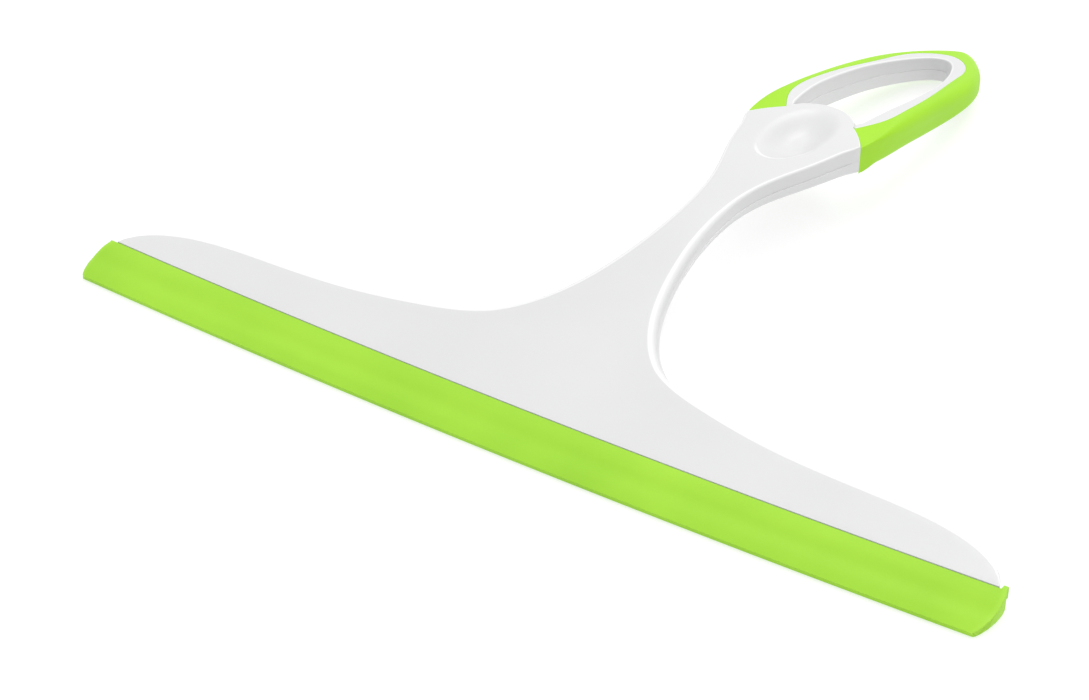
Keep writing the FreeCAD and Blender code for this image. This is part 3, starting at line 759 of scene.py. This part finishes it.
def mixed(tree, factor, first, second):
    """A colour between two, each of which is a colour or a socket."""
    made = tree.nodes.new("ShaderNodeMix")
    made.data_type = "RGBA"
    tree.links.new(factor, made.inputs["Factor"])
    sockets = [s for s in made.inputs if s.type == "RGBA"]
    for socket, value in zip(sockets, (first, second)):
        if hasattr(value, "links"):
            tree.links.new(value, socket)
        else:
            socket.default_value = value
    return next(s for s in made.outputs if s.type == "RGBA")


def ranged(tree, value, low, high, to_low, to_high):
    """A value brought from one range into another."""
    made = tree.nodes.new("ShaderNodeMapRange")
    tree.links.new(value, made.inputs["Value"])
    ends = {"From Min": low, "From Max": high, "To Min": to_low, "To Max": to_high}
    for name, number in ends.items():
        made.inputs[name].default_value = number
    return made.outputs["Result"]


def noise(tree, scale, detail, stretch=None):
    where = tree.nodes.new("ShaderNodeTexCoord").outputs["Object"]
    if stretch:
        mapping = tree.nodes.new("ShaderNodeMapping")
        mapping.inputs["Scale"].default_value = stretch
        tree.links.new(where, mapping.inputs["Vector"])
        where = mapping.outputs["Vector"]
    made = tree.nodes.new("ShaderNodeTexNoise")
    made.inputs["Scale"].default_value = scale
    made.inputs["Detail"].default_value = detail
    tree.links.new(where, made.inputs["Vector"])
    return made.outputs["Fac"]


def bumped(tree, shader, layers):
    """Chained bump nodes: each layer is a height, its depth in metres and its strength."""
    normal = None
    for height, depth, strength in layers:
        bump = tree.nodes.new("ShaderNodeBump")
        bump.inputs["Distance"].default_value = depth
        bump.inputs["Strength"].default_value = strength
        tree.links.new(height, bump.inputs["Height"])
        if normal:
            tree.links.new(normal, bump.inputs["Normal"])
        normal = bump.outputs["Normal"]
    tree.links.new(normal, shader.inputs["Normal"])


def edge_wear_and_highlight(tree):
    """The edge wear and painted highlight that the mesh gives at each point."""
    worn_and_highlit = tree.nodes.new("ShaderNodeAttribute")
    worn_and_highlit.attribute_name = "edge_wear_and_highlight"
    return worn_and_highlit.outputs["Fac"]


def new_material(name):
    made = bpy.data.materials.new(name)
    made.use_nodes = True
    tree = made.node_tree
    return made, tree, tree.nodes["Principled BSDF"]


def white_plastic():
    """Glossy moulded plastic: slightly uneven tone, faint flow marks, edges painted paler as wear
    and painted highlight.
    """
    made, tree, shader = new_material("white_plastic")
    cloud = noise(tree, 18.0, 4.0)
    flow = noise(tree, 30.0, 3.0, PLASTIC_FLOW)
    tone = mixed(tree, ranged(tree, cloud, 0.35, 0.65, 0, 1), *PLASTIC_TONES)
    # Edges are painted paler, as wear and painted highlight.
    edge = ranged(tree, edge_wear_and_highlight(tree), 0.4, 1.0, 0.0, 0.8)
    tree.links.new(mixed(tree, edge, tone, WORN_AND_HIGHLIT_PLASTIC), shader.inputs["Base Color"])
    roughness = ranged(tree, flow, 0.3, 0.7, *PLASTIC_ROUGHNESS)
    tree.links.new(roughness, shader.inputs["Roughness"])
    shader.inputs["Specular IOR Level"].default_value = PLASTIC_GLOSS
    speck = noise(tree, PLASTIC_GRAIN, 2.0)
    bumped(tree, shader, [(cloud, 0.0006, 0.12), (flow, 0.0003, 0.08), (speck, 0.00003, 0.25)])
    return made


def green_rubber(name, tones, gloss, grain_scale, streaks):
    """Matt rubber: fine grain, soft smudges, streaks, and edges painted pale as rubbing and painted
    highlight.
    """
    made, tree, shader = new_material(name)
    cloud = noise(tree, 22.0, 4.0)
    streak = noise(tree, 60.0, 3.0, streaks)
    tone = mixed(tree, ranged(tree, cloud, 0.3, 0.7, 0, 1), tones[0], tones[1])
    tone = mixed(tree, ranged(tree, streak, 0.45, 0.75, 0, 0.5), tone, tones[2])
    # Edges are painted paler, as rubbing and painted highlight.
    edge = ranged(tree, edge_wear_and_highlight(tree), 0.2, 1.0, 0.0, 0.35)
    tree.links.new(mixed(tree, edge, tone, WORN_AND_HIGHLIT_RUBBER), shader.inputs["Base Color"])
    roughness = ranged(tree, streak, 0.3, 0.7, *RUBBER_ROUGHNESS)
    tree.links.new(roughness, shader.inputs["Roughness"])
    shader.inputs["Specular IOR Level"].default_value = gloss
    grain = noise(tree, grain_scale, 2.0)
    bumped(tree, shader, [(cloud, 0.0005, 0.12), (streak, 0.0002, 0.12), (grain, 0.00006, 0.35)])
    return made


def floor_material():
    """A pale light table, so that shadows stay faint."""
    made, _, shader = new_material("pale_floor")
    shader.inputs["Base Color"].default_value = FLOOR_TONE
    shader.inputs["Roughness"].default_value = FLOOR_ROUGHNESS
    shader.inputs["Specular IOR Level"].default_value = FLOOR_GLOSS
    shader.inputs["Emission Color"].default_value = WHITE
    shader.inputs["Emission Strength"].default_value = FLOOR_GLOW
    return made


# ---------------------------------------------------------------- building

PLASTIC = white_plastic()
BLADE_RUBBER = green_rubber("blade_rubber", BLADE_TONES, BLADE_GLOSS, BLADE_GRAIN, BLADE_STREAKS)
GRIP_RUBBER = green_rubber("grip_rubber", GRIP_TONES, GRIP_GLOSS, GRIP_GRAIN, GRIP_STREAKS)


def place(piece, material, body, node_name):
    piece.data.materials.append(material)
    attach(piece, body)
    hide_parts(node_name)


upper_half = make_shell("shell_top", True, UPPER_ROUNDING, UPPER_CORNER, DISH_GAP)
lower_half = make_shell("shell_bottom", False, LOWER_ROUNDING, LOWER_CORNER, PLAIN_GAP)
place(upper_half, PLASTIC, "body", "upper_shell")
place(lower_half, PLASTIC, "body", "lower_shell")
place(make_grip(), GRIP_RUBBER, "body", "grip")
place(make_blade(), BLADE_RUBBER, "blade", "blade")
place(make_root(), BLADE_RUBBER, "blade", "blade")
place(make_lug(), BLADE_RUBBER, "blade", "blade")


# ---------------------------------------------------------------- floor, light and camera

FLOOR_HALF, FLOOR_Z = 6.0, -0.0003    # metres
KEY_PLACE, KEY_WIDTH, KEY_POWER = (-0.1, 1.1, 1.35), 0.8, 6.0    # metres and watts
SKY_FRONT_TO_BACK, SKY_LOW_TO_HIGH = (-0.24, 0.24), (0.34, 1.46)
CAMERA_AZIMUTH, CAMERA_ELEVATION, CAMERA_ROLL = 34.308, 32.115, 0.834
CAMERA_PLACE = (364.29, -522.14, 420.98)
CAMERA_LENS, CAMERA_REACH = 92.56, 50.0


def add(name, data):
    made = bpy.data.objects.new(name, data)
    bpy.context.scene.collection.objects.link(made)
    return made


def make_floor():
    mesh = bpy.data.meshes.new("floor")
    corners = [(x * FLOOR_HALF, y * FLOOR_HALF, 0) for x, y in ((-1, -1), (1, -1), (1, 1), (-1, 1))]
    mesh.from_pydata(corners, [], [(0, 1, 2, 3)])
    mesh.materials.append(floor_material())
    floor = add("floor", mesh)
    floor.location.z = FLOOR_Z


def make_sky():
    """A studio that is brighter above and behind the object than in front of it."""
    world = bpy.data.worlds.new("studio")
    bpy.context.scene.world = world
    world.use_nodes = True
    tree = world.node_tree
    where = tree.nodes.new("ShaderNodeTexCoord").outputs["Generated"]
    parts = tree.nodes.new("ShaderNodeSeparateXYZ")
    tree.links.new(where, parts.inputs[0])
    behind = ranged(tree, parts.outputs["Y"], -1.0, 1.0, *SKY_FRONT_TO_BACK)
    above = ranged(tree, parts.outputs["Z"], 0.0, 1.0, *SKY_LOW_TO_HIGH)
    total = tree.nodes.new("ShaderNodeMath")
    tree.links.new(behind, total.inputs[0])
    tree.links.new(above, total.inputs[1])
    background = tree.nodes["Background"]
    tree.links.new(total.outputs[0], background.inputs["Strength"])
    background.inputs["Color"].default_value = WHITE


def make_key_light():
    """One large soft lamp above and behind the squeegee."""
    lamp = bpy.data.lights.new("key", "AREA")
    lamp.shape = "SQUARE"
    lamp.size = KEY_WIDTH
    lamp.energy = KEY_POWER
    made = add("key", lamp)
    made.location = KEY_PLACE
    made.rotation_euler = (-Vector(KEY_PLACE)).to_track_quat("-Z", "Y").to_euler()


def make_camera():
    """Looks down at the squeegee from the front right."""
    azimuth, elevation, roll = (math.radians(a) for a in
                                (CAMERA_AZIMUTH, CAMERA_ELEVATION, CAMERA_ROLL))
    back = Vector((math.sin(azimuth) * math.cos(elevation),
                   -math.cos(azimuth) * math.cos(elevation), math.sin(elevation)))
    right = Vector((math.cos(azimuth), math.sin(azimuth), 0.0))
    up = back.cross(right)
    camera = bpy.data.cameras.new("camera")
    camera.lens = CAMERA_LENS
    camera.clip_end = CAMERA_REACH
    rolled_right = right * math.cos(roll) + up * math.sin(roll)
    rolled_up = up * math.cos(roll) - right * math.sin(roll)
    turn = Matrix((rolled_right, rolled_up, back)).transposed().to_4x4()
    made = add("camera", camera)
    made.matrix_world = Matrix.Translation(Vector(to_frame([CAMERA_PLACE])[0])) @ turn
    bpy.context.scene.camera = made


make_floor()
make_sky()
make_key_light()
make_camera()
bpy.context.scene.view_settings.view_transform = "Standard"
